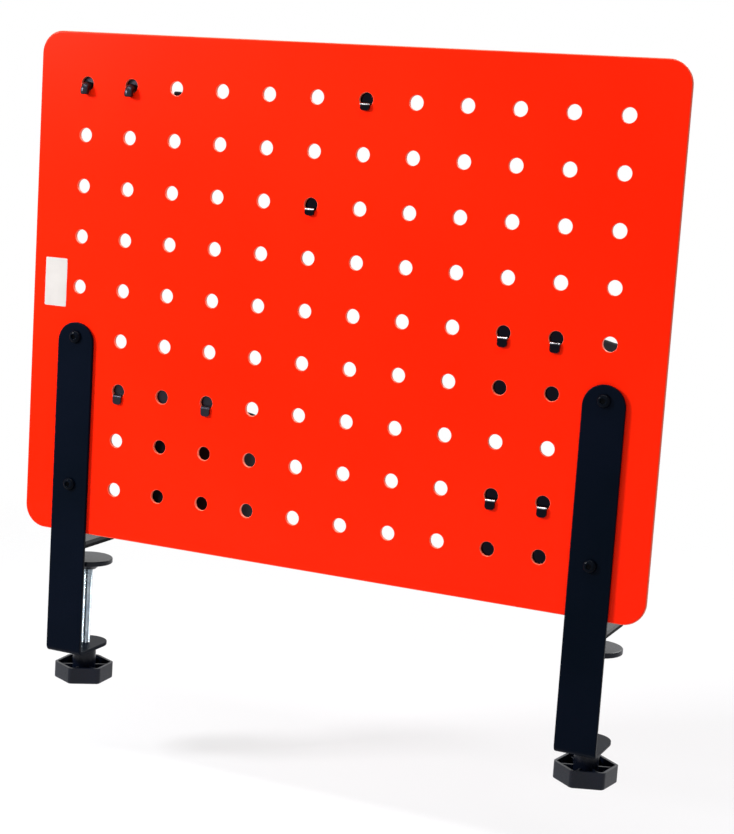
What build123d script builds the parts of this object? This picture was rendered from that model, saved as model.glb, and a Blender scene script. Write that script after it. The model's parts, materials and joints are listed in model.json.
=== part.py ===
from build123d import *
from math import cos, radians, sqrt, tan
import os

# Desk-edge peg board: a holed steel sheet held up behind a desk by two C clamps, with two
# drawer units, a round cup and four hooks hung in its peg holes.
# Millimetres. x to the right seen from the desk, -y towards the user, +z up.
# Origin: where the clamped desk's top face meets its rear edge, midway between the clamps.
# Rows are counted from the top, columns from the +x end.

os.makedirs("parts", exist_ok=True)

# Peg board
pitch = 40.0
columns = 12
rows = 9
hole_d = 11.0
side_margin = 43.0        # outer column to the board's side
end_margin = 40.0         # outer row to the board's top or bottom
board_t = 3.0
board_corner_r = 18.0
board_edge_r = 1.2
board_lift = 12.0         # board's lower edge above the desk top

# Blank label on the back
label_w = 20.0
label_h = 38.5
label_t = 0.2
label_inset = 11.0        # from the board's side
label_above_row = 2.0     # label's middle above the middle row
label_corner_r = 1.0

# Clamp arm: flat bar on the back of the board, bent forward under the desk
arm_w = 32.0
arm_t = 3.0
arm_bend_r = 2.5          # inside radius of the bend
arm_top = 11.5            # end of the bar above its upper screw
arm_screw_rows = 3        # rows between the two screws
throat_h = 87.5           # desk top plane to the lower plate
spindle_reach = 31.0      # spindle axis in front of the arm
lower_nose = 4.0          # middle of the lower plate's round end beyond the spindle axis
arm_screw_clearance = 0.3

# Upper jaw
jaw_len = 48.0
jaw_t = 3.0
jaw_corner_r = 4.0
pad_t = 3.0
pad_inset = 0.6

# Clamp screw
spindle_d = 8.0
thread_clearance = 0.05
pressure_d = 40.0         # swivelling pressure plate
pressure_t = 4.0
pressure_edge_r = 0.8
hub_top_d = 25.0
hub_low_d = 13.0
hub_h = 5.5
socket_depth = 5.0        # spindle's end inside the hub
rest_gap = 15.0           # jaw to pressure plate as photographed

# Knob
knob_across = 49.0        # across the corners, before they are rounded
knob_corner_r = 4.0
knob_h = 13.5
knob_wall = 2.2
knob_floor = 3.0
knob_rib_t = 1.6
knob_rib_drop = 2.0       # ribs below the rim
knob_neck_d = 19.0
knob_neck_rise = 14.0     # neck above the rim
knob_gap = 0.5            # neck to the lower plate when screwed right in
knob_turns = {"left": 21.0, "right": 33.0}   # degrees about the spindle, as the screws stand
knob_edge_r = 1.2

# M6 fasteners
screw_d = 6.0
screw_head_d = 10.5
screw_head_h = 3.3
screw_key = 4.0           # hexagon across flats
screw_key_depth = 2.0
screw_tip = 1.8           # beyond the nut
nut_across_flats = 10.0
nut_h = 5.0
nut_clearance = 0.05
washer_d = 18.0
washer_t = 1.6

# Tabs that hook into the peg holes
tab_w = 7.5
tab_tail = 10.3           # tail's end below the hole's middle
tab_bend_r = 0.8
tab_corner_r = 2.5
peg_clearance = 0.15      # tab to hole wall
back_clearance = 0.3      # tail to the board's back

# Drawer units
unit_sheet = 1.5
unit_w = 80.0
unit_depth = 90.0
unit_top = 7.0            # top of the housing above its row, at the board
unit_bottom = 60.0        # floor of the housing below its row
unit_slope = 10.0         # degrees, roof down to the front
unit_bend_r = 2.5
drawer_wall = 1.2
drawer_side_gap = 0.5
drawer_floor_gap = 0.3
drawer_roof_gap = 1.0
drawer_front_t = 1.5
drawer_front_gap = 0.3
drawer_back_gap = 3.0
drawer_corner_r = 3.0
notch_d = 30.0            # finger notch
front_corner_r = 3.0

# Cup
cup_d = 104.0
cup_h = 86.5
cup_wall = 1.2
cup_foot_r = 5.0
cup_rim_d = 3.0
cup_drop = 20.5           # rim below its row
hanger_t = 1.5
hanger_overhang = 8.0     # beyond the tabs' middles
hanger_top = 9.0          # above the row
hanger_low = 30.0         # below the row
hanger_corner_r = 6.0

# Short hooks, bent from flat bar
strip_t = 2.0
strip_plate_w = 20.0
strip_arm_w = 12.0
strip_top = 9.0           # above the hole
strip_low = 26.0          # below the hole
strip_tail = 7.8          # tab's end below the hole's middle
strip_reach = 42.0
strip_tip = 14.0
strip_bend_r = 3.0
strip_corner_r = 4.0

# Long hooks, bent from round bar
rod_d = 7.0
rod_bend_r = 6.0          # to the bar's axis
rod_peg_bend_r = 4.0
rod_drop = 16.0           # arm below the hole
rod_tail = 8.5            # peg's end below the hole's middle
rod_reach = 70.0
rod_tip = 15.0
rod_end_r = 1.5
rod_plate_w = 18.0
rod_plate_t = 2.0
rod_plate_top = 9.0
rod_plate_low = 24.0

board_w = (columns - 1) * pitch + 2 * side_margin
board_h = (rows - 1) * pitch + 2 * end_margin
board_mid_z = board_lift + board_h / 2
arm_x = (columns - 1) * pitch / 2
lower_z = -throat_h - arm_t                    # underside of the lower plate
neck_z = lower_z - knob_gap
rim_z = neck_z - knob_neck_rise
lower_screw_row = rows
upper_screw_row = rows - arm_screw_rows


def column_x(column):
    return ((columns + 1) / 2 - column) * pitch


def row_z(row):
    return board_lift + end_margin + (rows - row) * pitch


def save(node, solid):
    solid.label = node
    export_step(solid, f"parts/{node}.step")


def slab(face, y_back, thickness):
    """Face drawn in x and z, made a sheet from y_back towards the user."""
    return extrude(Plane.XZ.offset(-y_back) * face, thickness)


def moved_sideways(points, distance):
    """Polyline moved to its left by distance, with mitred corners."""
    vectors = [Vector(*point) for point in points]
    runs = [(b - a).normalized() for a, b in zip(vectors, vectors[1:])]
    lefts = [Vector(-run.Y, run.X) for run in runs]
    moved = [vectors[0] + lefts[0] * distance]
    for corner, before, after in zip(vectors[1:-1], lefts, lefts[1:]):
        moved.append(corner + (before + after) * (distance / (1 + before.dot(after))))
    moved.append(vectors[-1] + lefts[-1] * distance)
    return moved


def bent_strip(points, thickness, bend_r, width, x_mid):
    """Flat bar of the given thickness bent along (y, z) points, with inside radius bend_r."""
    vectors = [Vector(*point) for point in points]
    turns = [(b - a).cross(c - b).Z for a, b, c in zip(vectors, vectors[1:], vectors[2:])]
    left_radii = [bend_r if turn > 0 else bend_r + thickness for turn in turns]
    right_radii = [bend_r + thickness if turn > 0 else bend_r for turn in turns]
    left = moved_sideways(points, thickness / 2)
    right = moved_sideways(points, -thickness / 2)
    outline = Wire([
        *FilletPolyline(*left, radius=left_radii).edges(),
        Line(left[-1], right[-1]),
        *FilletPolyline(*right, radius=right_radii).edges(),
        Line(right[0], left[0]),
    ])
    return extrude(Plane.YZ.offset(x_mid - width / 2) * make_face(outline), width)


def peg_tab(x_mid, hole_z, sheet_t, tail):
    """Tab that leaves a plate on the board's front, crosses a peg hole and hooks down."""
    seat = sqrt((hole_d / 2) ** 2 - (tab_w / 2) ** 2) - peg_clearance
    tab_z = hole_z - seat + sheet_t / 2
    tail_y = back_clearance + sheet_t / 2
    path = [(-board_t - sheet_t / 2, tab_z), (tail_y, tab_z), (tail_y, hole_z - tail)]
    tab = bent_strip(path, sheet_t, tab_bend_r, tab_w, x_mid)
    return fillet(tab.edges().filter_by(Axis.Y).group_by(Axis.Z)[0], tab_corner_r)


def peg_board():
    sheet = Pos(0, board_mid_z) * RectangleRounded(board_w, board_h, board_corner_r)
    spots = [Pos(column_x(c), row_z(r)) for c in range(1, columns + 1) for r in range(1, rows + 1)]
    sheet -= [spot * Circle(hole_d / 2) for spot in spots]
    board = slab(sheet, 0, board_t)
    rims = [face.outer_wire().edges() for face in board.faces().filter_by(Axis.Y)]
    return fillet(rims[0] + rims[1], board_edge_r)


def label():
    mid_x = board_w / 2 - label_inset - label_w / 2
    mid_z = row_z((rows + 1) / 2) + label_above_row
    return slab(Pos(mid_x, mid_z) * RectangleRounded(label_w, label_h, label_corner_r), label_t, label_t)


def clamp_arm(x_mid):
    """Flat bar with a round top, bent forward into a round-ended plate tapped for the spindle."""
    top_z = row_z(upper_screw_row) + arm_top
    front_y = -spindle_reach - lower_nose - arm_w / 2
    plate_z = lower_z + arm_t / 2
    path = [(arm_t / 2, top_z), (arm_t / 2, plate_z), (front_y, plate_z)]
    bar = bent_strip(path, arm_t, arm_bend_r, arm_w, x_mid)
    bar_h = top_z - lower_z
    bar_depth = arm_t - front_y
    round_top = Pos(x_mid, lower_z) * SlotOverall(2 * bar_h, arm_w, rotation=90)
    round_front = Pos(x_mid, arm_t) * SlotOverall(2 * bar_depth, arm_w, rotation=90)
    bar &= slab(round_top, arm_t, bar_depth)
    bar &= extrude(Pos(0, 0, lower_z) * round_front, bar_h)
    for row in (upper_screw_row, lower_screw_row):
        bar -= slab(Pos(x_mid, row_z(row)) * Circle(screw_d / 2 + arm_screw_clearance), arm_t, arm_t)
    tapped = Cylinder(spindle_d / 2 + thread_clearance, 2 * arm_t)
    return bar - Pos(x_mid, -spindle_reach, plate_z) * tapped


def jaw_plate(x_mid, inset, z_low, thickness):
    """Rectangular plate that stands forward from the arm under the board."""
    width = arm_w - 2 * inset
    length = jaw_len - inset
    face = Pos(x_mid, -length / 2) * Rectangle(width, length)
    plate = extrude(Pos(0, 0, z_low) * face, thickness)
    front = plate.edges().filter_by(Axis.Z).group_by(Axis.Y)[0]
    return fillet(front, jaw_corner_r - inset)


def pressure_plate(x_mid):
    """Round plate with a tapered hub underneath that turns on the spindle's end."""
    top_z = -rest_gap
    disc_r = pressure_d / 2
    disc = Pos(0, 0, top_z - pressure_t / 2) * Cylinder(disc_r, pressure_t)
    disc = fillet(disc.edges(), pressure_edge_r)
    hub = Pos(0, 0, top_z - pressure_t - hub_h / 2) * Cone(hub_low_d / 2, hub_top_d / 2, hub_h)
    socket_h = socket_depth + thread_clearance
    socket_z = top_z - pressure_t - hub_h + socket_h / 2
    body = disc + hub - Pos(0, 0, socket_z) * Cylinder(spindle_d / 2 + thread_clearance, socket_h)
    return Pos(x_mid, -spindle_reach) * body


def spindle(x_mid):
    top_z = -rest_gap - pressure_t - hub_h + socket_depth
    low_z = rim_z - knob_h + knob_floor
    rod = Pos(0, 0, (top_z + low_z) / 2) * Cylinder(spindle_d / 2, top_z - low_z)
    return Pos(x_mid, -spindle_reach) * rod


def knob(x_mid, turn):
    """Hollow six-sided hand knob, open upwards, with a tall neck and a rib to each corner."""
    low_z = rim_z - knob_h
    outer = fillet(RegularPolygon(knob_across / 2, 6).vertices(), knob_corner_r)
    inner = offset(outer, -knob_wall)
    shell = extrude(Pos(0, 0, low_z) * outer, knob_h)
    shell = fillet(shell.faces().sort_by(Axis.Z)[0].edges(), knob_edge_r)
    shell -= extrude(Pos(0, 0, low_z + knob_floor) * inner, knob_h)
    neck_h = neck_z - low_z
    neck = Pos(0, 0, low_z + neck_h / 2) * Cylinder(knob_neck_d / 2, neck_h)
    rib_h = knob_h - knob_rib_drop
    ribs = extrude(Pos(0, 0, low_z) * Rectangle(knob_across - 2 * knob_wall, knob_rib_t), rib_h)
    body = shell + neck
    for rib_turn in (0, 60, 120):
        body += Rot(0, 0, rib_turn) * ribs
    bore_h = neck_h - knob_floor
    body -= Pos(0, 0, neck_z - bore_h / 2) * Cylinder(spindle_d / 2, bore_h)
    return Pos(x_mid, -spindle_reach) * Rot(0, 0, turn) * body


def arm_spots():
    return [(x, row_z(row)) for x in (arm_x, -arm_x) for row in (upper_screw_row, lower_screw_row)]


def screw(x, z):
    """Domed screw with a hexagon recess, its head on the back of the arm."""
    shank_len = arm_t + board_t + washer_t + nut_h + screw_tip
    dome_r = screw_head_d / 2
    head = extrude(Circle(dome_r), screw_head_h, taper=22)
    key_face = RegularPolygon(screw_key / 2, 6, major_radius=False)
    head -= extrude(Pos(0, 0, screw_head_h - screw_key_depth) * key_face, screw_key_depth)
    shank = Pos(0, 0, -shank_len / 2) * Cylinder(screw_d / 2, shank_len)
    return Pos(x, arm_t, z) * Rot(-90, 0, 0) * (head + shank)


def washer(x, z):
    ring = Circle(washer_d / 2) - Circle(screw_d / 2 + arm_screw_clearance)
    return slab(Pos(x, z) * ring, -board_t, washer_t)


def nut(x, z):
    face = RegularPolygon(nut_across_flats / 2, 6, major_radius=False) - Circle(screw_d / 2 + nut_clearance)
    return slab(Pos(x, z) * face, -board_t - washer_t, nut_h)


def unit_prism(shrink_side, shrink_roof, y_back, y_front, z_low):
    """Block under the sloping roof of a drawer unit, z measured from its row."""
    slope = tan(radians(unit_slope))
    board_y = -board_t
    outline = [(y, unit_top - shrink_roof - (board_y - y) * slope) for y in (y_back, y_front)]
    outline = [(y_back, z_low), *outline, (y_front, z_low)]
    width = unit_w - 2 * shrink_side
    return extrude(Plane.YZ.offset(-width / 2) * make_face(Polyline(*outline, close=True)), width)


def runs_along_y(edge):
    return abs(edge.tangent_at(0).Y) > 0.9


def drawer_housing(x_mid, row):
    """Folded sheet sleeve with a sloping roof, open to the front, on two tabs."""
    y_back = -board_t
    y_front = y_back - unit_depth
    outer = unit_prism(0, 0, y_back, y_front, -unit_bottom)
    outer = fillet(outer.edges().filter_by(runs_along_y), unit_bend_r)
    roof_t = unit_sheet / cos(radians(unit_slope))
    floor_z = unit_sheet - unit_bottom
    inner = unit_prism(unit_sheet, roof_t, y_back - unit_sheet, y_front - unit_sheet, floor_z)
    inner = fillet(inner.edges().filter_by(runs_along_y), unit_bend_r - unit_sheet)
    body = Pos(x_mid, 0, row_z(row)) * (outer - inner)
    for side in (-0.5, 0.5):
        body += peg_tab(x_mid + side * pitch, row_z(row), unit_sheet, tab_tail)
    return body


def drawer(x_mid, row):
    """Open-topped sheet tray with a wider front that has a finger notch."""
    slope_drop = unit_depth * tan(radians(unit_slope))
    front_h = unit_bottom + unit_top - slope_drop
    width = unit_w - 2 * (unit_sheet + drawer_side_gap)
    z_low = unit_sheet + drawer_floor_gap
    height = front_h - z_low - unit_sheet - drawer_roof_gap
    y_back = -board_t - unit_sheet - drawer_back_gap
    y_front = -board_t - unit_depth - drawer_front_gap
    depth = y_back - y_front
    tray = Pos(0, (y_back + y_front) / 2, z_low + height / 2) * Box(width, depth, height)
    tray = fillet(tray.edges().filter_by(Axis.Z), drawer_corner_r)
    hollow_h = height - drawer_wall
    hollow = Pos(0, (y_back + y_front) / 2, z_low + drawer_wall + hollow_h / 2) * Box(
        width - 2 * drawer_wall, depth - 2 * drawer_wall, hollow_h)
    hollow = fillet(hollow.edges().filter_by(Axis.Z), drawer_corner_r - drawer_wall)
    front_face = Pos(0, front_h / 2) * RectangleRounded(unit_w, front_h, front_corner_r)
    front = slab(front_face, y_front, drawer_front_t)
    notch = slab(Pos(0, front_h) * Circle(notch_d / 2), y_front + drawer_wall, drawer_wall + drawer_front_t)
    body = tray - hollow + front - notch
    return Pos(x_mid, 0, row_z(row) - unit_bottom) * body


def cup_axis_y():
    return -board_t - hanger_t - cup_d / 2


def cup(x_mid, row):
    """Round sheet cup with a rounded foot and a rolled rim."""
    radius = cup_d / 2
    low_z = row_z(row) - cup_drop - cup_h
    outer = Pos(0, 0, cup_h / 2) * Cylinder(radius, cup_h)
    outer = fillet(outer.edges().sort_by(Axis.Z)[0], cup_foot_r)
    hollow_h = cup_h - cup_wall
    hollow = Pos(0, 0, cup_wall + hollow_h / 2) * Cylinder(radius - cup_wall, hollow_h)
    hollow = fillet(hollow.edges().sort_by(Axis.Z)[0], cup_foot_r - cup_wall)
    rim = Pos(0, 0, cup_h - cup_rim_d / 2) * Torus(radius - cup_rim_d / 2, cup_rim_d / 2)
    return Pos(x_mid, cup_axis_y(), low_z) * (outer - hollow + rim)


def cup_hanger(x_mid, row):
    """Plate behind the cup with a tab for the peg holes at each side."""
    width = 2 * (pitch + hanger_overhang)
    face = Pos(x_mid, row_z(row) + (hanger_top - hanger_low) / 2) * RectangleRounded(
        width, hanger_top + hanger_low, hanger_corner_r)
    body = slab(face, -board_t, hanger_t)
    for side in (-1, 1):
        body += peg_tab(x_mid + side * pitch, row_z(row), hanger_t, tab_tail)
    return body


def strip_hook(x_mid, row):
    """Small plate with a tab behind and an upturned flat arm in front."""
    hole_z = row_z(row)
    face = Pos(x_mid, hole_z + (strip_top - strip_low) / 2) * RectangleRounded(
        strip_plate_w, strip_top + strip_low, strip_corner_r)
    body = slab(face, -board_t, strip_t) + peg_tab(x_mid, hole_z, strip_t, strip_tail)
    mid_y = -board_t - strip_t / 2
    arm_z = hole_z - strip_low - strip_bend_r
    path = [(mid_y, hole_z - strip_low / 2), (mid_y, arm_z), (-board_t - strip_reach, arm_z),
            (-board_t - strip_reach, arm_z + strip_tip)]
    return body + bent_strip(path, strip_t, strip_bend_r, strip_arm_w, x_mid)


def rod_hook(x_mid, row):
    """Round bar hooked through a peg hole, welded to a small plate, with an upturned arm."""
    hole_z = row_z(row)
    peg_z = hole_z - hole_d / 2 + rod_d / 2 + peg_clearance
    tail_y = back_clearance + rod_d / 2
    plate_y = -board_t - rod_plate_t
    face = Pos(x_mid, hole_z + (rod_plate_top - rod_plate_low) / 2) * RectangleRounded(
        rod_plate_w, rod_plate_top + rod_plate_low, strip_corner_r)
    body = slab(face, -board_t, rod_plate_t)
    peg = Plane.YZ.offset(x_mid) * FilletPolyline(
        (plate_y, peg_z), (tail_y, peg_z), (tail_y, hole_z - rod_tail), radius=rod_peg_bend_r)
    arm_z = hole_z - rod_drop
    tip_y = -board_t - rod_reach
    arm = Plane.YZ.offset(x_mid) * FilletPolyline(
        (-board_t, arm_z), (tip_y, arm_z), (tip_y, arm_z + rod_tip), radius=rod_bend_r)
    for path in (peg, arm):
        start = Plane(path @ 0, z_dir=path % 0)
        bar = sweep(start * Circle(rod_d / 2), path)
        body += fillet(bar.faces().sort_by_distance(path @ 1)[0].edges(), rod_end_r)
    return body


save("peg_board", peg_board())
save("label_blank", label())

for name, x_side in (("left", -arm_x), ("right", arm_x)):
    save(f"clamp_arm_{name}", clamp_arm(x_side))
    save(f"jaw_{name}", jaw_plate(x_side, 0, pad_t, jaw_t))
    save(f"jaw_pad_{name}", jaw_plate(x_side, pad_inset, 0, pad_t))
    save(f"pressure_plate_{name}", pressure_plate(x_side))
    save(f"spindle_{name}", spindle(x_side))
    save(f"knob_{name}", knob(x_side, knob_turns[name]))

save("arm_screws", Compound([screw(x, z) for x, z in arm_spots()]))
save("arm_washers", Compound([washer(x, z) for x, z in arm_spots()]))
save("arm_nuts", Compound([nut(x, z) for x, z in arm_spots()]))

unit_x = column_x(columns - 1.5)
for name, unit_row in (("upper", rows - 4), ("lower", rows - 1)):
    save(f"drawer_housing_{name}", drawer_housing(unit_x, unit_row))
    save(f"drawer_{name}", drawer(unit_x, unit_row))

cup_row = rows - 2
save("cup", cup(column_x(3), cup_row))
save("cup_hanger", cup_hanger(column_x(3), cup_row))

save("rod_hook_outer", rod_hook(column_x(1), 1))
save("rod_hook_inner", rod_hook(column_x(2), 1))
save("strip_hook_upper", strip_hook(column_x(7), 1))
save("strip_hook_lower", strip_hook(column_x(6), 3))
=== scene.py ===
import json
import bmesh
import bpy
import numpy as np
from math import pi, radians
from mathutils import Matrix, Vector

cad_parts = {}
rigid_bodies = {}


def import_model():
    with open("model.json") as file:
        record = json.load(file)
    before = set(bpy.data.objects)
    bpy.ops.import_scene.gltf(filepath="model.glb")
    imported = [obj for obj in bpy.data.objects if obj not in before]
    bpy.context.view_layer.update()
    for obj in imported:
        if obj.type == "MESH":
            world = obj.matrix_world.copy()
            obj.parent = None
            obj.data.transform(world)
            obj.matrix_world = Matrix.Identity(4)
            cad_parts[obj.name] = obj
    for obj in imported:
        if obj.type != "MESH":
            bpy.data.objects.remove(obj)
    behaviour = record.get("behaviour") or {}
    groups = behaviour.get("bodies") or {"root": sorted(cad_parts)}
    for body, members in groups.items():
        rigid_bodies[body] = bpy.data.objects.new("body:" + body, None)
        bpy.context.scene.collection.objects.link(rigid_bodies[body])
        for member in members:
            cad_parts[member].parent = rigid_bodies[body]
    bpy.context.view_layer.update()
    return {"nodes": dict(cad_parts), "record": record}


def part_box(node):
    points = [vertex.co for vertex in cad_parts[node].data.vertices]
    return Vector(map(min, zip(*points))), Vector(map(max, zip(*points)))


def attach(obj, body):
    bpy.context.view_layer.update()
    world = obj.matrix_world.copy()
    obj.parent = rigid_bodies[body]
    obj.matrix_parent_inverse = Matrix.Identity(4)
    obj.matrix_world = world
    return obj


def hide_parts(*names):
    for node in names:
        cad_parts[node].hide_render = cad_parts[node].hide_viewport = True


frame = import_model()
nodes = frame["nodes"]
for stray in [thing for thing in bpy.data.objects if thing.name in ("Cube", "Light", "Camera")]:
    bpy.data.objects.remove(stray)
print("frame loaded with", len(nodes), "nodes")

mm = 0.001              # a millimetre in metres: shapes are worked out in millimetres, meshes hold metres
mergeDistance = 2e-6    # points nearer than this many metres are one point
shortestEdge = 1e-7     # edges shorter than this many metres collapse

# Limits between which a noise is spread. Narrow ones give patches clear borders, and high ones only peaks.
noiseWide, noiseMiddle, noiseNarrow = (0.3, 0.7), (0.35, 0.65), (0.4, 0.6)
noisePeaks = (0.62, 0.78)


# Corners of a box turned from metres to millimetres, to the nearest thousandth.
def inMillimetres(corners):
    return [np.round(np.array(corner) / mm, 3) for corner in corners]


# Four-sided faces between the points of one grid: each joins two neighbours in a row to the same two in the
# next. A closed direction also joins its last line to its first.
def gridFaces(rowCount, columnCount, closedRows, closedColumns, start=0):
    row = np.arange(rowCount if closedRows else rowCount - 1)[:, None]
    column = np.arange(columnCount if closedColumns else columnCount - 1)[None, :]
    nextRow, nextColumn = (row + 1) % rowCount, (column + 1) % columnCount
    corners = [row * columnCount + column, row * columnCount + nextColumn,
               nextRow * columnCount + nextColumn, nextRow * columnCount + column]
    return np.stack(corners, -1).reshape(-1, 4) + start


# One closed piece from grids in millimetres. Points that grids share are merged, and the faces point
# outwards. It rides on a body, takes a slot and stands for the nodes it replaces.
def surfacePiece(name, grids, material, body, replaced):
    points, faces, start = [], [], 0
    for grid, closedRows, closedColumns in grids:
        rowCount, columnCount = grid.shape[:2]
        faces.append(gridFaces(rowCount, columnCount, closedRows, closedColumns, start))
        points.append(grid.reshape(-1, 3) * mm)
        start += rowCount * columnCount
    mesh = bpy.data.meshes.new(name)
    mesh.from_pydata(np.concatenate(points).tolist(), [], np.concatenate(faces).tolist())
    work = bmesh.new()
    work.from_mesh(mesh)
    bmesh.ops.remove_doubles(work, verts=work.verts, dist=mergeDistance)
    bmesh.ops.dissolve_degenerate(work, edges=work.edges, dist=shortestEdge)
    bmesh.ops.recalc_face_normals(work, faces=work.faces)
    work.to_mesh(mesh)
    work.free()
    mesh.polygons.foreach_set("use_smooth", np.ones(len(mesh.polygons), bool))
    mesh.materials.append(material)
    piece = bpy.data.objects.new(name, mesh)
    bpy.context.scene.collection.objects.link(piece)
    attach(piece, body)
    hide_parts(*replaced)


# Profile round a sheet's edge, as insets from its outline and depths behind its front face. A flat strip on
# the front leads over a quarter circle into the cut, and another quarter circle leads to a strip on the back.
# On a quarter circle the inset is the radius times one less sine, and the depth times one less cosine.
def roundedThrough(radius, thickness, steps, strip):
    turn = np.linspace(0, pi / 2, steps + 1)
    inset, drop = radius * (1 - np.sin(turn)), radius * (1 - np.cos(turn))
    depth = np.concatenate([[0], drop, (thickness - drop)[::-1], [thickness]])
    return np.concatenate([[radius + strip], inset, inset[::-1], [radius + strip]]), depth


# Distance from a hexagon's middle to its side: half its width over the cosine of the turn from a flat.
def hexagonReach(halfAcross, angle):
    return halfAcross / np.cos((angle + pi / 6) % (pi / 3) - pi / 6)


# Height of a thread's tooth at a number of turns, from none to one. The crest and the root are a quarter of a
# turn each, with straight flanks between them.
def threadTooth(turns):
    return np.clip(1.5 - np.abs(turns % 1.0 - 0.5) * 4, 0, 1)


# Equal angles once round an axis.
def roundAngles(count):
    return np.arange(count) * 2 * pi / count


# A colour in screen bytes as the linear colour of a socket. Its dark end is a straight line, and the rest the
# power 2.4 of the share moved up by 0.055, as screens have it.
def linear(colour):
    share = np.array(colour) / 255
    return (*np.where(share <= 0.04045, share / 12.92, ((share + 0.055) / 1.055) ** 2.4).tolist(), 1.0)


# Two functions for one node tree: node makes a node and gives its outputs, and fill sets a node's inputs to
# values or to other nodes' outputs. An input has Blender's name, with _ for a space, or is i and its number.
def nodeMaker(tree):
    def fill(made, **inputs):
        for key, value in inputs.items():
            numbered = key[0] == "i" and key[1:].isdigit()
            socket = made.inputs[int(key[1:]) if numbered else key.replace("_", " ")]
            if isinstance(value, bpy.types.NodeSocket):
                tree.links.new(value, socket)
            else:
                socket.default_value = value

    def node(kind, settings=None, **inputs):
        made = tree.nodes.new(kind)
        for key, value in (settings or {}).items():
            setattr(made, key, value)
        fill(made, **inputs)
        return made.outputs

    return node, fill


# A material whose Principled shader has the given inputs, with the two functions for its tree.
def newMaterial(name, **sockets):
    material = bpy.data.materials.new(name)
    material.use_nodes = True
    node, fill = nodeMaker(material.node_tree)
    shader = material.node_tree.nodes["Principled BSDF"]
    fill(shader, **sockets)
    return material, shader, node, fill


# One step of arithmetic on two numbers.
def maths(node, operation, first, second):
    return node("ShaderNodeMath", {"operation": operation}, i0=first, i1=second)[0]


# One step of arithmetic on one or two vectors.
def vectorMaths(node, operation, *vectors):
    inputs = {"i" + str(number): vector for number, vector in enumerate(vectors)}
    return node("ShaderNodeVectorMath", {"operation": operation}, **inputs)[0]


# Length of a vector.
def lengthOf(node, vector):
    return node("ShaderNodeVectorMath", {"operation": "LENGTH"}, i0=vector)["Value"]


# Point of the surface in Object coordinates, which are metres in the frame.
def placeOn(node):
    return node("ShaderNodeTexCoord")["Object"]


# Noise over the surface. One lump is size millimetres across, over the stretch along each axis.
def noiseOn(node, size, detail=2.0, roughness=0.5, stretch=(1, 1, 1)):
    drawn = node("ShaderNodeMapping", Vector=placeOn(node), Scale=stretch)["Vector"]
    scale = 1 / mm / size
    return node("ShaderNodeTexNoise", Vector=drawn, Scale=scale, Detail=detail, Roughness=roughness)["Fac"]


# A value spread linearly from one pair of limits to another, and held at the second pair's ends.
def spread(node, value, limits, results):
    made = node("ShaderNodeMapRange", Value=value, From_Min=limits[0], From_Max=limits[1],
                To_Min=results[0], To_Max=results[1])
    return made["Result"]


# Two colours blended: the first times the rest of the share, plus the second times the share. They are screen
# bytes, and the first can be another node's output.
def blendColours(node, share, first, second):
    if not isinstance(first, bpy.types.NodeSocket):
        first = linear(first)
    return node("ShaderNodeMix", {"data_type": "RGBA"}, i0=share, i6=first, i7=linear(second))[2]


# Roughness that wanders with a noise, by its drift to either side.
def wanderingRoughness(node, look, noise):
    middle, drift = look["roughness"], look["roughnessDrift"]
    return spread(node, noise, noiseWide, (middle - drift, middle + drift))


# Bump whose height follows a noise.
def bumpFrom(node, look, noise):
    height = look["bumpHeight"] * mm
    return node("ShaderNodeBump", Strength=look["bump"], Distance=height, Height=noise)["Normal"]


boardLow, boardHigh = inMillimetres(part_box("peg_board"))
board = {
    "width": boardHigh[0] - boardLow[0], "height": boardHigh[2] - boardLow[2],
    "middleHeight": (boardLow[2] + boardHigh[2]) / 2, "sheet": boardHigh[1] - boardLow[1],
    "columns": 12, "rows": 9, "pitch": 40.0, "holeDiameter": 11.0, "cornerRadius": 18.0,
    "edgeRound": 1.2, "edgeSteps": 5, "edgeStrip": 0.8,     # rounding of the outline, and the strip inside it
    "holeRound": 0.45, "holeSteps": 3, "holeStrip": 0.5,    # the same at the holes
    "sidesPerHole": 48, "cornerSteps": 12,
}


# Share of a pale rim on the board, a painted highlight where the sheet is cut. It is the larger of two
# shares: how near a point is to its hole's bore, by its distance from the middle of its cell, and how near it
# is to the rounded outline, by its distance outside the rectangle of the corner arcs' middles. All quarters of
# the board are alike, and a row of holes lies midway in height, but no column midway across.
def rimShare(node, look):
    sheet = look["board"]
    place = node("ShaderNodeMapping", Vector=placeOn(node), Scale=(1 / mm, 0, 1 / mm))["Vector"]
    centred = vectorMaths(node, "SUBTRACT", place, (0, 0, sheet["middleHeight"]))
    mirrored = vectorMaths(node, "ABSOLUTE", centred)
    gridEnd = [sheet[count] * sheet["pitch"] / 2 - look["gridMargin"] for count in ("columns", "rows")]
    onGrid = vectorMaths(node, "MINIMUM", mirrored, (gridEnd[0], 0, gridEnd[1]))
    halfCell = sheet["pitch"] / 2
    shifted = vectorMaths(node, "ADD", onGrid, (0, 0, halfCell))
    wrapped = vectorMaths(node, "MODULO", shifted, (sheet["pitch"], 1, sheet["pitch"]))
    fromHole = lengthOf(node, vectorMaths(node, "SUBTRACT", wrapped, (halfCell, 0, halfCell)))
    boreLimits = [sheet["holeDiameter"] / 2 + beyond for beyond in look["beyondBore"]]
    bore = spread(node, fromHole, boreLimits, (1.0, 0.0))
    arcMiddle = [sheet[size] / 2 - sheet["cornerRadius"] for size in ("width", "height")]
    beyondArc = vectorMaths(node, "SUBTRACT", mirrored, (arcMiddle[0], 0, arcMiddle[1]))
    fromArc = lengthOf(node, vectorMaths(node, "MAXIMUM", beyondArc, (0, 0, 0)))
    edgeLimits = [sheet["cornerRadius"] - inside for inside in look["insideEdge"]]
    return maths(node, "MAXIMUM", bore, spread(node, fromArc, edgeLimits, (0.0, 1.0)))
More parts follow.
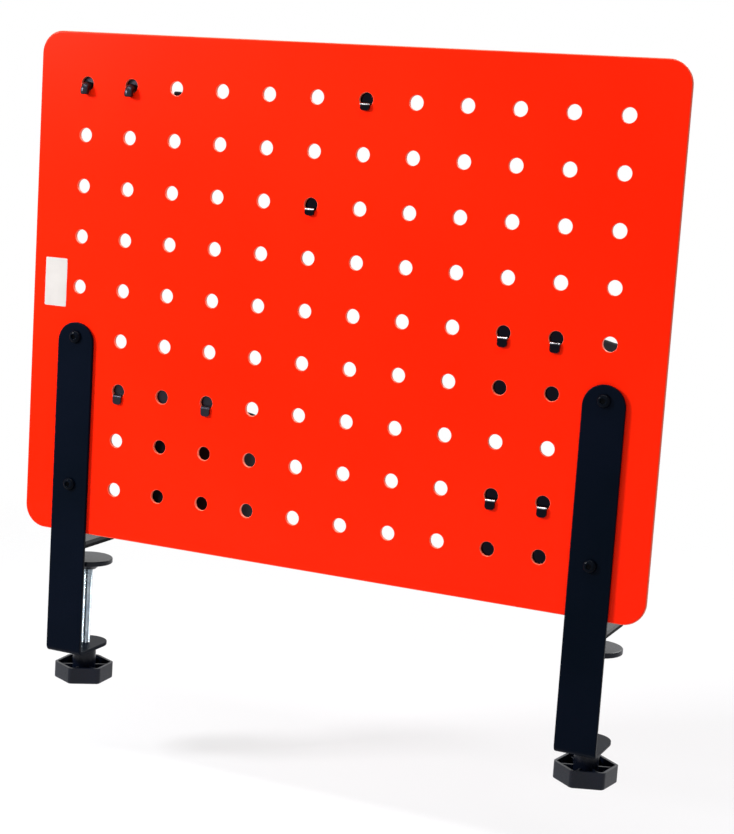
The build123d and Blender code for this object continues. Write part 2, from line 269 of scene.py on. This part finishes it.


# Share of a painted highlight on a tab's bend: the upward times the backward part of the way the surface
# faces, spread over its limits, times a patchy noise, and times the share of what is behind the board.
def wornBend(node, look, behind):
    facing = node("ShaderNodeSeparateXYZ", Vector=node("ShaderNodeTexCoord")["Normal"])
    crest = spread(node, maths(node, "MULTIPLY", facing["Y"], facing["Z"]), look["facing"], (0.0, 1.0))
    patches = spread(node, noiseOn(node, look["patchSize"]), noiseNarrow, (look["thinnest"], 1.0))
    return maths(node, "MULTIPLY", maths(node, "MULTIPLY", crest, patches), behind)


# Coat of a piece that hangs in the board: painted shade darkens it towards the board, and its tabs behind the
# board's front are rubbed smooth and metallic, some with a painted highlight on the bend. Both shares grow
# from none to one between two places in depth.
def coatNearBoard(node, look, base, roughness):
    depth = node("ShaderNodeSeparateXYZ", Vector=placeOn(node))["Y"]
    paintedShade = spread(node, depth, [limit * mm for limit in look["paintedShade"]], (0.0, 1.0))
    rubbed = spread(node, depth, [limit * mm for limit in look["rubbed"]], (0.0, 1.0))
    # painted shade: darker towards the board
    base = blendColours(node, paintedShade, base, look["paintedShadeColour"])
    base = blendColours(node, rubbed, base, look["rubbedColour"])
    # painted highlight on the crest of the tabs' bends
    if "bendHighlight" in look:
        base = blendColours(node, wornBend(node, look["bendHighlight"], rubbed), base, look["bendHighlight"]["colour"])
    smooth = look["rubbedRoughness"]
    roughness = node("ShaderNodeMix", {"data_type": "FLOAT"}, i0=rubbed, i2=roughness, i3=smooth)[0]
    return base, roughness, rubbed


# Painted or moulded finish. A broad noise drifts its colour, and a fine one gives the skin: paler specks on
# its peaks, its bump and a roughness that wanders. Looks with tabs or a rim add the shares above: painted
# shade near the board and a painted highlight on the tabs' bends, or a pale painted highlight where the sheet
# is cut.
def coatMaterial(name, look):
    material, shader, node, fill = newMaterial(name, Specular_IOR_Level=look["specular"])
    drift = spread(node, noiseOn(node, look["driftSize"], detail=3.0), noiseMiddle, (0.0, 1.0))
    skin = noiseOn(node, look["skinSize"], look["skinDetail"], roughness=0.55)
    base = blendColours(node, drift, look["colour"], look["driftColour"])
    if "speck" in look:
        specks = spread(node, skin, noisePeaks, (0.0, look["speck"]))
        base = blendColours(node, specks, base, look["speckColour"])
    roughness = wanderingRoughness(node, look, skin)
    if "tabs" in look:
        base, roughness, bare = coatNearBoard(node, look["tabs"], base, roughness)
        fill(shader, Metallic=bare)
    if "rim" in look:
        # painted highlight: paler where the sheet is cut
        base = blendColours(node, rimShare(node, look["rim"]), base, look["rim"]["colour"])
    fill(shader, Base_Color=base, Roughness=roughness, Normal=bumpFrom(node, look, skin))
    return material


# Bare or plated metal. Its grey drifts in patches, and a noise drawn out along one axis gives fine scratches:
# their bump and a sheen that wanders.
def metalMaterial(name, look):
    material, shader, node, fill = newMaterial(name, Metallic=1.0)
    patches = noiseOn(node, look["patchSize"], detail=4.0, roughness=0.6)
    scratches = noiseOn(node, look["scratchSize"], detail=3.0, roughness=0.7, stretch=look["scratchStretch"])
    drift = spread(node, patches, noiseMiddle, (0.0, 1.0))
    base = blendColours(node, drift, look["colour"], look["patchColour"])
    roughness = wanderingRoughness(node, look, scratches)
    fill(shader, Base_Color=base, Roughness=roughness, Normal=bumpFrom(node, look, scratches))
    return material


# Colours are screen bytes, and sizes and places are millimetres. The board's front face is at a place of -3.
coats = {
    "boardCoat": dict(
        colour=(251, 34, 4), driftColour=(248, 30, 2), driftSize=240, skinSize=1.1, skinDetail=2.0,
        roughness=0.24, roughnessDrift=0.04, specular=0.05, bump=0.08, bumpHeight=0.04,
        # rim: pale painted highlight on the bores' walls and the rounded outline
        rim=dict(board=board, colour=(255, 128, 100), gridMargin=0.5, beyondBore=(0.1, 0.3),
                 insideEdge=(0.8, 0.8 / 3))),
    "armCoat": dict(
        colour=(4, 10, 23), driftColour=(1, 7, 18), driftSize=90, skinSize=0.8, skinDetail=3.0,
        roughness=0.32, roughnessDrift=0.06, specular=0.03, bump=0.2, bumpHeight=0.04,
        speck=0.1, speckColour=(34, 42, 58)),
    "accessoryCoat": dict(
        colour=(38, 38, 42), driftColour=(33, 33, 37), driftSize=60, skinSize=0.9, skinDetail=3.0,
        roughness=0.8, roughnessDrift=0.06, specular=0.05, bump=0.3, bumpHeight=0.05,
        speck=0.15, speckColour=(64, 64, 70),
        # the first limits and colour are painted shade near the board
        tabs=dict(paintedShade=(-30.0, -8.0), paintedShadeColour=(8, 8, 13),
                  rubbed=(-3.5, -3.0), rubbedColour=(20, 19, 26), rubbedRoughness=0.14,
                  # a pale painted highlight on the crest of the tabs' bends
                  bendHighlight=dict(colour=(196, 196, 200), facing=(0.24, 0.46), patchSize=4.0, thinnest=0.25))),
    "rodCoat": dict(
        colour=(34, 34, 38), driftColour=(28, 28, 32), driftSize=30, skinSize=0.6, skinDetail=3.0,
        roughness=0.45, roughnessDrift=0.06, specular=0.14, bump=0.2, bumpHeight=0.04,
        speck=0.08, speckColour=(50, 50, 58),
        # painted shade near the board, as above
        tabs=dict(paintedShade=(-30.0, -8.0), paintedShadeColour=(12, 12, 16),
                  rubbed=(-3.5, -3.0), rubbedColour=(44, 43, 50), rubbedRoughness=0.3)),
    "blackPlastic": dict(
        colour=(9, 15, 30), driftColour=(6, 11, 23), driftSize=40, skinSize=0.45, skinDetail=4.0,
        roughness=0.3, roughnessDrift=0.07, specular=0.2, bump=0.3, bumpHeight=0.04,
        speck=0.1, speckColour=(50, 56, 68)),
    "padRubber": dict(
        colour=(9, 9, 11), driftColour=(16, 16, 18), driftSize=20, skinSize=0.5, skinDetail=4.0,
        roughness=0.8, roughnessDrift=0.1, specular=0.15, bump=0.5, bumpHeight=0.08,
        speck=0.2, speckColour=(36, 36, 38)),
    "jawCoat": dict(
        colour=(8, 11, 20), driftColour=(5, 8, 15), driftSize=60, skinSize=0.8, skinDetail=3.0,
        roughness=0.3, roughnessDrift=0.06, specular=0.22, bump=0.2, bumpHeight=0.04,
        speck=0.1, speckColour=(34, 40, 54)),
    "labelFilm": dict(
        colour=(198, 194, 191), driftColour=(191, 187, 184), driftSize=14, skinSize=0.35, skinDetail=3.0,
        roughness=0.4, roughnessDrift=0.05, specular=0.3, bump=0.12, bumpHeight=0.02),
    "blackScrew": dict(
        colour=(4, 9, 19), driftColour=(2, 6, 14), driftSize=6, skinSize=0.4, skinDetail=3.0,
        roughness=0.16, roughnessDrift=0.05, specular=0.035, bump=0.15, bumpHeight=0.02,
        speck=0.05, speckColour=(44, 50, 62)),
}
metals = {
    "spindleSteel": dict(
        colour=(196, 208, 214), patchColour=(160, 174, 186), patchSize=9, scratchSize=0.5,
        scratchStretch=(1, 1, 6), roughness=0.24, roughnessDrift=0.08, bump=0.15, bumpHeight=0.05),
    "zinc": dict(
        colour=(190, 194, 198), patchColour=(160, 166, 172), patchSize=2.5, scratchSize=0.4,
        scratchStretch=(1, 4, 1), roughness=0.32, roughnessDrift=0.08, bump=0.2, bumpHeight=0.05),
}
finishOfSlot = {
    "board_coat": "boardCoat", "black_coat": "armCoat", "accessory_coat": "accessoryCoat",
    "black_plastic": "blackPlastic", "pad_rubber": "padRubber", "spindle_steel": "spindleSteel",
    "black_screw": "blackScrew", "zinc": "zinc", "label_film": "labelFilm",
}
finishOfNode = {  # nodes that look unlike the rest of their slot
    "jaw_left": "jawCoat", "jaw_right": "jawCoat",
    "rod_hook_outer": "rodCoat", "rod_hook_inner": "rodCoat", "cup_hanger": "rodCoat",
}
finishes = {name: coatMaterial(name, look) for name, look in coats.items()}
finishes.update({name: metalMaterial(name, look) for name, look in metals.items()})
for part in frame["record"]["subparts"]:
    for slot in nodes[part["node"]].material_slots:
        slot.material = finishes[finishOfNode.get(part["node"], finishOfSlot[part["material_slot"]])]
print("finishes set on the frame's nodes")


# Middles of the board's columns or rows, from the middle of the board.
def cellMiddles(count, pitch):
    return (np.arange(count) - (count - 1) / 2) * pitch


# One square cell of the board for each hole: round the angle, and along a profile from the cell's square
# border over the hole's rounded front rim, through the bore and over its back rim to the border again.
def holeCells(look):
    angle = roundAngles(look["sidesPerHole"]) + pi / 4
    ray = np.stack([np.cos(angle), np.sin(angle)], -1)
    border = ray * (look["pitch"] / 2 / np.abs(ray).max(-1, keepdims=True))
    outset, depth = roundedThrough(look["holeRound"], look["sheet"], look["holeSteps"], look["holeStrip"])
    rings = (look["holeDiameter"] / 2 + outset)[:, None, None] * ray
    rings = np.concatenate([border[None], rings, border[None]])
    y = np.concatenate([[0], depth, [look["sheet"]]])[:, None] - look["sheet"]
    cell = np.stack([rings[..., 0], np.broadcast_to(y, rings.shape[:2]), rings[..., 1]], -1)
    columns = cellMiddles(look["columns"], look["pitch"])
    rows = cellMiddles(look["rows"], look["pitch"]) + look["middleHeight"]
    spots = np.stack(np.meshgrid(columns, [0.0], rows, indexing="ij"), -1).reshape(-1, 3)
    return [(cell + spot, False, True) for spot in spots]


# The margin round the cells: round the outline, and along a profile from the border of the outermost cells
# over the rounded edge and back. A side's points lie beside the cells' points, where equal turns of a ray
# from each hole's middle meet the border, rounded so that a point of two cells counts once. Each corner of the
# border fans out to the corner's arc.
def boardMargin(look):
    across = np.tan(np.linspace(-pi / 4, pi / 4, look["sidesPerHole"] // 4 + 1)) * look["pitch"] / 2
    grid = np.array([look["columns"], look["rows"]]) * look["pitch"] / 2
    outer = np.array([look["width"], look["height"]]) / 2
    sides = [np.unique(np.round(cellMiddles(look[count], look["pitch"])[:, None] + across, 9))
             for count in ("rows", "columns")]
    turn = np.linspace(0, pi / 2, look["cornerSteps"] + 1)[:, None]
    inner, rim, outward = [], [], []
    for quarter in range(4):
        along = sides[quarter % 2]
        here, size = (grid, outer) if quarter % 2 == 0 else (grid[::-1], outer[::-1])
        spin = quarter * pi / 2
        turned = np.array([[np.cos(spin), np.sin(spin)], [-np.sin(spin), np.cos(spin)]])
        flatInner = np.stack([np.full(along.size, here[0]), along], -1)
        flatRim = np.stack([np.full(along.size, size[0]), along], -1)
        flatOut = np.tile([1.0, 0.0], (along.size, 1))
        arcOut = np.concatenate([np.cos(turn), np.sin(turn)], -1)
        arcRim = size - look["cornerRadius"] + arcOut * look["cornerRadius"]
        arcInner = np.tile(here, (turn.size, 1))
        inner += [flatInner @ turned, arcInner @ turned]
        rim += [flatRim @ turned, arcRim @ turned]
        outward += [flatOut @ turned, arcOut @ turned]
    inner, rim, outward = map(np.concatenate, (inner, rim, outward))
    inset, depth = roundedThrough(look["edgeRound"], look["sheet"], look["edgeSteps"], look["edgeStrip"])
    rings = rim[None] - inset[:, None, None] * outward[None]
    rings = np.concatenate([inner[None], rings, inner[None]])
    y = np.concatenate([[0], depth, [look["sheet"]]])[:, None] - look["sheet"]
    height = rings[..., 1] + look["middleHeight"]
    return (np.stack([rings[..., 0], np.broadcast_to(y, rings.shape[:2]), height], -1), False, True)


surfacePiece("boardSheet", [*holeCells(board), boardMargin(board)], finishes["boardCoat"],
             "frame", ["peg_board"])
print("board made")


# Top and front are where the round ends reach, a little past the flat-sided ends of the frame's nodes.
arm = {
    "thickness": 3.0, "top": 183.5, "front": -51.0, "rowsBetweenScrews": 3,
    "bendRadius": 4.0, "edgeRound": 0.55, "edgeStrip": 0.7,
    "uprightSteps": 6, "bendSteps": 10, "footSteps": 4, "endSteps": 28, "edgeSteps": 4,
}


# Bent flat bar with round ends: round its outline, and across it from the middle line of one face over the
# rounded edge to the middle line of the other. A length along the bar is then laid on its bent line: straight
# down to the bend, a quarter circle at the bend radius plus the level above the middle line, and straight to
# the front.
def bentBar(look, low, high):
    half, thick = (high[0] - low[0]) / 2, look["thickness"]
    middleX, footHeight = (low[0] + high[0]) / 2, low[2] + thick / 2
    upright = look["top"] - footHeight - look["bendRadius"]
    arc = look["bendRadius"] * pi / 2
    total = upright + arc + (thick / 2 - look["bendRadius"] - look["front"])
    along = np.concatenate([np.linspace(half, upright, look["uprightSteps"] + 1)[:-1],
                            np.linspace(upright, upright + arc, look["bendSteps"] + 1),
                            np.linspace(upright + arc, total - half, look["footSteps"] + 1)[1:]])
    turn = np.linspace(pi / 2, -pi / 2, look["endSteps"] + 1)[1:-1]
    middle = np.concatenate([along, np.full(turn.size, total - half), along[::-1], np.full(turn.size, half)])
    heading = np.concatenate([np.full(along.size, pi / 2), turn, np.full(along.size, -pi / 2), turn - pi])
    inset, depth = roundedThrough(look["edgeRound"], thick, look["edgeSteps"], look["edgeStrip"])
    reach = half - np.concatenate([[half], inset, [half]])[:, None]
    level = thick / 2 - np.concatenate([[0], depth, [thick]])[:, None]
    length = middle + reach * np.cos(heading)
    x = middleX + reach * np.sin(heading)
    bend = np.clip((length - upright) / look["bendRadius"], 0, pi / 2)
    swing = look["bendRadius"] + level
    y = thick / 2 - look["bendRadius"] + swing * np.cos(bend) - np.maximum(length - upright - arc, 0)
    z = look["top"] - np.minimum(length, upright) - swing * np.sin(bend)
    return (np.stack([x, y, z], -1), False, True)


for name in ("left", "right"):
    armLow, armHigh = inMillimetres(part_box("clamp_arm_" + name))
    surfacePiece("bentArm_" + name, [bentBar(arm, armLow, armHigh)], finishes["armCoat"],
                 "frame", ["clamp_arm_" + name])
print("arms made")


# Screws, washers and nuts stand in the outermost columns, in the lowest row and in the arms' upper screw row.
# A seat is the place of the face that a piece rests on, from the board's back. A screw's keyMouth and keyFoot
# are shares of its recess's width.
outerColumn = (board["columns"] - 1) / 2 * board["pitch"]
lowestRow = board["middleHeight"] - (board["rows"] - 1) / 2 * board["pitch"]
upperRow = lowestRow + arm["rowsBetweenScrews"] * board["pitch"]
screwSpots = [(x, z) for x in (-outerColumn, outerColumn) for z in (lowestRow, upperRow)]
washer = {
    "seat": -board["sheet"], "diameter": 18.0, "bore": 6.4, "thickness": 1.6,
    "edgeRound": 0.25, "edgeSteps": 3, "edgeStrip": 0.3, "sides": 72,
}
nut = {
    "seat": washer["seat"] - washer["thickness"], "across": 10.0, "height": 5.0, "bore": 5.9,
    "boreChamfer": 0.3, "coneHeight": 0.55, "coneStart": 0.98, "coneSteps": 6, "sides": 96,
}
screw = {
    "seat": arm["thickness"], "pastNut": 1.8, "diameter": 6.0, "threadPitch": 1.0, "threadDepth": 0.55,
    "threadStart": 0.05, "tipChamfer": 0.7, "headDiameter": 10.5, "headHeight": 3.3,
    "skirt": 0.5, "skirtChamfer": 0.2, "domePower": 1.1, "domeSteps": 8,
    "keyAcross": 4.0, "keyDepth": 2.0, "keyMouth": 1.06, "mouthDepth": 0.1,
    "keyFoot": 0.97, "footHeight": 0.05, "drillPoint": 0.5, "sides": 60, "rowsPerPitch": 8,
}
screw["shankLength"] = screw["seat"] - nut["seat"] + nut["height"] + screw["pastNut"]


# Rings round an axis from front to back through a spot: a radius and a place along the axis at each angle.
def ringsAt(radius, y, angle, spot):
    grid = np.stack([radius * np.cos(angle), y * np.ones_like(radius), radius * np.sin(angle)], -1)
    return grid + [spot[0], 0, spot[1]]


# Button head with a hexagon recess on a threaded shank: round the axis, and along a profile from the point of
# the recess up its wall, over the dome, in under the head, down the thread and in at the tip. The dome's
# radius grows with the sine, and its height falls with a power of the cosine. The thread's radius is the
# shank's less the depth where there is no tooth, and a chamfer limits it at the tip.
def buttonScrew(look, spot):
    angle = roundAngles(look["sides"])
    once = np.ones_like(angle)[None]
    key = hexagonReach(look["keyAcross"] / 2, angle)[None]
    headRadius, shankRadius = look["headDiameter"] / 2, look["diameter"] / 2
    mouth, keyFloor = key * look["keyMouth"], look["headHeight"] - look["keyDepth"]
    domeTurn = np.linspace(0.0, 1.0, look["domeSteps"] + 1)[:, None] * pi / 2
    domeRadius = mouth + (headRadius - mouth) * np.sin(domeTurn)
    domeHeight = look["skirt"] + (look["headHeight"] - look["skirt"]) * np.cos(domeTurn) ** look["domePower"]
    rowCount = int(look["shankLength"] / look["threadPitch"] * look["rowsPerPitch"]) + 1
    down = np.linspace(look["threadStart"], look["shankLength"], rowCount)[:, None]
    tooth = threadTooth(down / look["threadPitch"] + angle / (2 * pi))
    fromTip = (look["shankLength"] - down) / look["tipChamfer"]
    tipLimit = shankRadius - look["tipChamfer"] * np.clip(1 - fromTip, 0, 1)
    threadRadius = np.minimum(shankRadius - look["threadDepth"] * (1 - tooth), tipLimit)
    profile = [
        (once * 0, keyFloor - look["drillPoint"]), (key * look["keyFoot"], keyFloor),
        (key, keyFloor + look["footHeight"]), (key, look["headHeight"] - look["mouthDepth"]),
        (domeRadius, domeHeight), (once * headRadius, look["skirtChamfer"]),
        (once * (headRadius - look["skirtChamfer"]), 0.0), (once * shankRadius, 0.0),
        (threadRadius, -down), (once * 0, -look["shankLength"]),
    ]
    radius = np.concatenate([r for r, height in profile])
    height = np.concatenate([height * np.ones_like(r) for r, height in profile])
    return (ringsAt(radius, height + look["seat"], angle, spot), False, True)


# Flat ring: round the axis, and along a profile from the bore over the rounded rim and back.
def flatWasher(look, spot):
    inset, depth = roundedThrough(look["edgeRound"], look["thickness"], look["edgeSteps"], look["edgeStrip"])
    angle = roundAngles(look["sides"])
    radius = np.concatenate([[look["bore"] / 2], look["diameter"] / 2 - inset, [look["bore"] / 2]])[:, None]
    y = look["seat"] - np.concatenate([[0], depth, [look["thickness"]]])[:, None]
    return (ringsAt(radius * np.ones_like(angle), y, angle, spot), True, True)


# Hexagon nut: round the axis, and along a profile from the bore over one face to the flats and back over the
# other. At both faces a cone cuts the corners back, where its radius is less than the hexagon's.
def hexagonNut(look, spot):
    angle = roundAngles(look["sides"])
    flats = hexagonReach(look["across"] / 2, angle)[None]
    share = np.linspace(0, 1, look["coneSteps"] + 1)[:, None]
    coneStart, coneEnd = look["across"] / 2 * look["coneStart"], look["across"] / 2 / np.cos(pi / 6)
    bevel = np.minimum(flats, coneStart + share * (coneEnd - coneStart))
    bore, chamfer = np.full_like(flats, look["bore"] / 2), look["boreChamfer"]
    radius = np.concatenate([bore, bore + chamfer, bevel, bevel[::-1], bore + chamfer, bore])
    front = np.concatenate([[chamfer, 0.0], share[:, 0] * look["coneHeight"]])[:, None]
    depth = np.concatenate([front, look["height"] - front[::-1]])
    return (ringsAt(radius, look["seat"] - depth, angle, spot), True, True)


surfacePiece("buttonScrews", [buttonScrew(screw, spot) for spot in screwSpots], finishes["blackScrew"],
             "frame", ["arm_screws"])
surfacePiece("hexagonNuts", [hexagonNut(nut, spot) for spot in screwSpots], finishes["zinc"],
             "frame", ["arm_nuts"])
surfacePiece("flatWashers", [flatWasher(washer, spot) for spot in screwSpots], finishes["zinc"],
             "frame", ["arm_washers"])
print("fasteners made")


spindle = {
    "diameter": 8.0, "threadPitch": 1.25, "threadDepth": 0.5, "chamfer": 0.8, "sides": 36, "rowsPerPitch": 8,
}


# Threaded rod: round the axis, and from end to end. The radius is the rod's less the depth where there is no
# tooth. A tooth's flanks are eased to three squares less two cubes of it, and a chamfer limits both ends.
def threadedRod(look, middle, bottom, top):
    rowCount = int((top - bottom) / look["threadPitch"] * look["rowsPerPitch"]) + 1
    height = np.linspace(bottom, top, rowCount)[:, None]
    angle = roundAngles(look["sides"])[None, :]
    tooth = threadTooth(height / look["threadPitch"] - angle / (2 * pi))
    tooth = tooth * tooth * (3 - 2 * tooth)
    fromEnd = np.minimum(top - height, height - bottom) / look["chamfer"]
    limit = look["diameter"] / 2 - look["chamfer"] * np.clip(1 - fromEnd, 0, 1)
    radius = np.minimum(look["diameter"] / 2 - look["threadDepth"] * (1 - tooth), limit)
    level = np.broadcast_to(height, radius.shape)
    rod = np.stack([radius * np.cos(angle), radius * np.sin(angle), level], -1)
    tip = np.zeros((1, look["sides"], 3))
    return (np.concatenate([tip + [0, 0, bottom], rod, tip + [0, 0, top]]) + middle, False, True)


for name in ("left", "right"):
    spindleLow, spindleHigh = inMillimetres(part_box("spindle_" + name))
    middle = (spindleLow + spindleHigh) / 2 * [1, 1, 0]
    surfacePiece("threadedSpindle_" + name, [threadedRod(spindle, middle, spindleLow[2], spindleHigh[2])],
                 finishes["spindleSteel"], "screw_" + name, ["spindle_" + name])
print("spindles made")


# The floor, room, lamps and camera are in metres, and a lamp's power is in watts.
floor = {
    "height": -0.186, "halfSize": 2.4, "points": 9, "clearRadius": 0.75, "fadeRadius": 1.25,
    "glow": 0.64, "colour": (149, 149, 150), "driftColour": (145, 145, 147), "driftSize": 900,
    "roughness": 0.9, "specular": 0.05,
}
room = {"worldLight": 0.2, "seenLight": 1.0}
lamps = {
    "keyLamp": {"place": (1.15, 0.95, 0.75), "aim": (0, 0, 0.2), "size": (0.3, 0.3), "power": 28},
    "wideLamp": {"place": (-0.2, 2.5, 1.3), "aim": (0, 0, 0.15), "size": (2.2, 1.6), "power": 6},
    "stripLamp": {"place": (0, 0.4, 1.35), "aim": (0, 0, 0.2), "size": (1.6, 0.12), "power": 10},
    "frontLamp": {"place": (-0.6, -2.2, 1.8), "aim": (0, 0, 0.15), "size": (1.6, 1.2), "power": 55},
}
white = (1.0, 1.0, 1.0, 1.0)


# Floor: the same height all over a grid of two lengths. Its glow and the lamps lift it to white, so that only
# shadows show, and it fades into the white background with the distance from the middle.
def floorPiece(look):
    span = np.linspace(-look["halfSize"], look["halfSize"], look["points"])
    x, y = np.meshgrid(span, span, indexing="ij")
    points = np.stack([x, y, np.full_like(x, look["height"])], -1).reshape(-1, 3)
    mesh = bpy.data.meshes.new("studioFloor")
    mesh.from_pydata(points.tolist(), [], gridFaces(look["points"], look["points"], False, False).tolist())
    piece = bpy.data.objects.new("studioFloor", mesh)
    bpy.context.scene.collection.objects.link(piece)
    material, shader, node, fill = newMaterial("studioFloor", Roughness=look["roughness"],
                                               Specular_IOR_Level=look["specular"])
    patches = spread(node, noiseOn(node, look["driftSize"]), noiseMiddle, (0.0, 1.0))
    base = blendColours(node, patches, look["colour"], look["driftColour"])
    fill(shader, Base_Color=base, Emission_Color=white, Emission_Strength=look["glow"])
    limits = (look["clearRadius"], look["fadeRadius"])
    fade = spread(node, lengthOf(node, placeOn(node)), limits, (0.0, 1.0))
    clear = node("ShaderNodeBsdfTransparent")["BSDF"]
    faded = node("ShaderNodeMixShader", i0=fade, i1=shader.outputs["BSDF"], i2=clear)[0]
    fill(material.node_tree.nodes["Material Output"], Surface=faded)
    mesh.materials.append(material)


# World: it lights the object by worldLight, and is white to camera, glossy and transmission rays.
def whiteWorld(look):
    world = bpy.data.worlds.new("studio")
    bpy.context.scene.world = world
    world.use_nodes = True
    node, fill = nodeMaker(world.node_tree)
    ray = node("ShaderNodeLightPath")
    seen = maths(node, "MAXIMUM", ray["Is Camera Ray"], ray["Is Glossy Ray"])
    seen = maths(node, "MAXIMUM", seen, ray["Is Transmission Ray"])
    strength = spread(node, seen, (0.0, 1.0), (look["worldLight"], look["seenLight"]))
    fill(world.node_tree.nodes["Background"], Color=white, Strength=strength)


# Area lamp at its place, turned so that it shines at its aim: its own minus z axis lies along the way there.
def areaLamp(name, look):
    lamp = bpy.data.lights.new(name, "AREA")
    lamp.shape = "RECTANGLE"
    lamp.size, lamp.size_y = look["size"]
    lamp.energy = look["power"]
    holder = bpy.data.objects.new(name, lamp)
    holder.location = look["place"]
    aim = Vector(look["aim"]) - Vector(look["place"])
    holder.rotation_euler = aim.to_track_quat("-Z", "Y").to_euler()
    bpy.context.scene.collection.objects.link(holder)


floorPiece(floor)
whiteWorld(room)
for name, look in lamps.items():
    areaLamp(name, look)
bpy.context.scene.view_settings.view_transform = "Standard"
print("floor, room and lamps made")


# The photograph's camera, fitted to the board's holes. Its turn is in degrees, its lens in millimetres.
camera = {"place": (-0.58806, 1.26777, 0.35122), "turn": (81.2066, -3.6928, -155.9448),
          "lens": 80.483, "sensorWidth": 36.0}
cameraData = bpy.data.cameras.new("photoCamera")
cameraData.lens, cameraData.sensor_width = camera["lens"], camera["sensorWidth"]
cameraPiece = bpy.data.objects.new("photoCamera", cameraData)
cameraPiece.location = camera["place"]
cameraPiece.rotation_euler = [radians(turn) for turn in camera["turn"]]
bpy.context.scene.collection.objects.link(cameraPiece)
bpy.context.scene.camera = cameraPiece
print("camera placed")
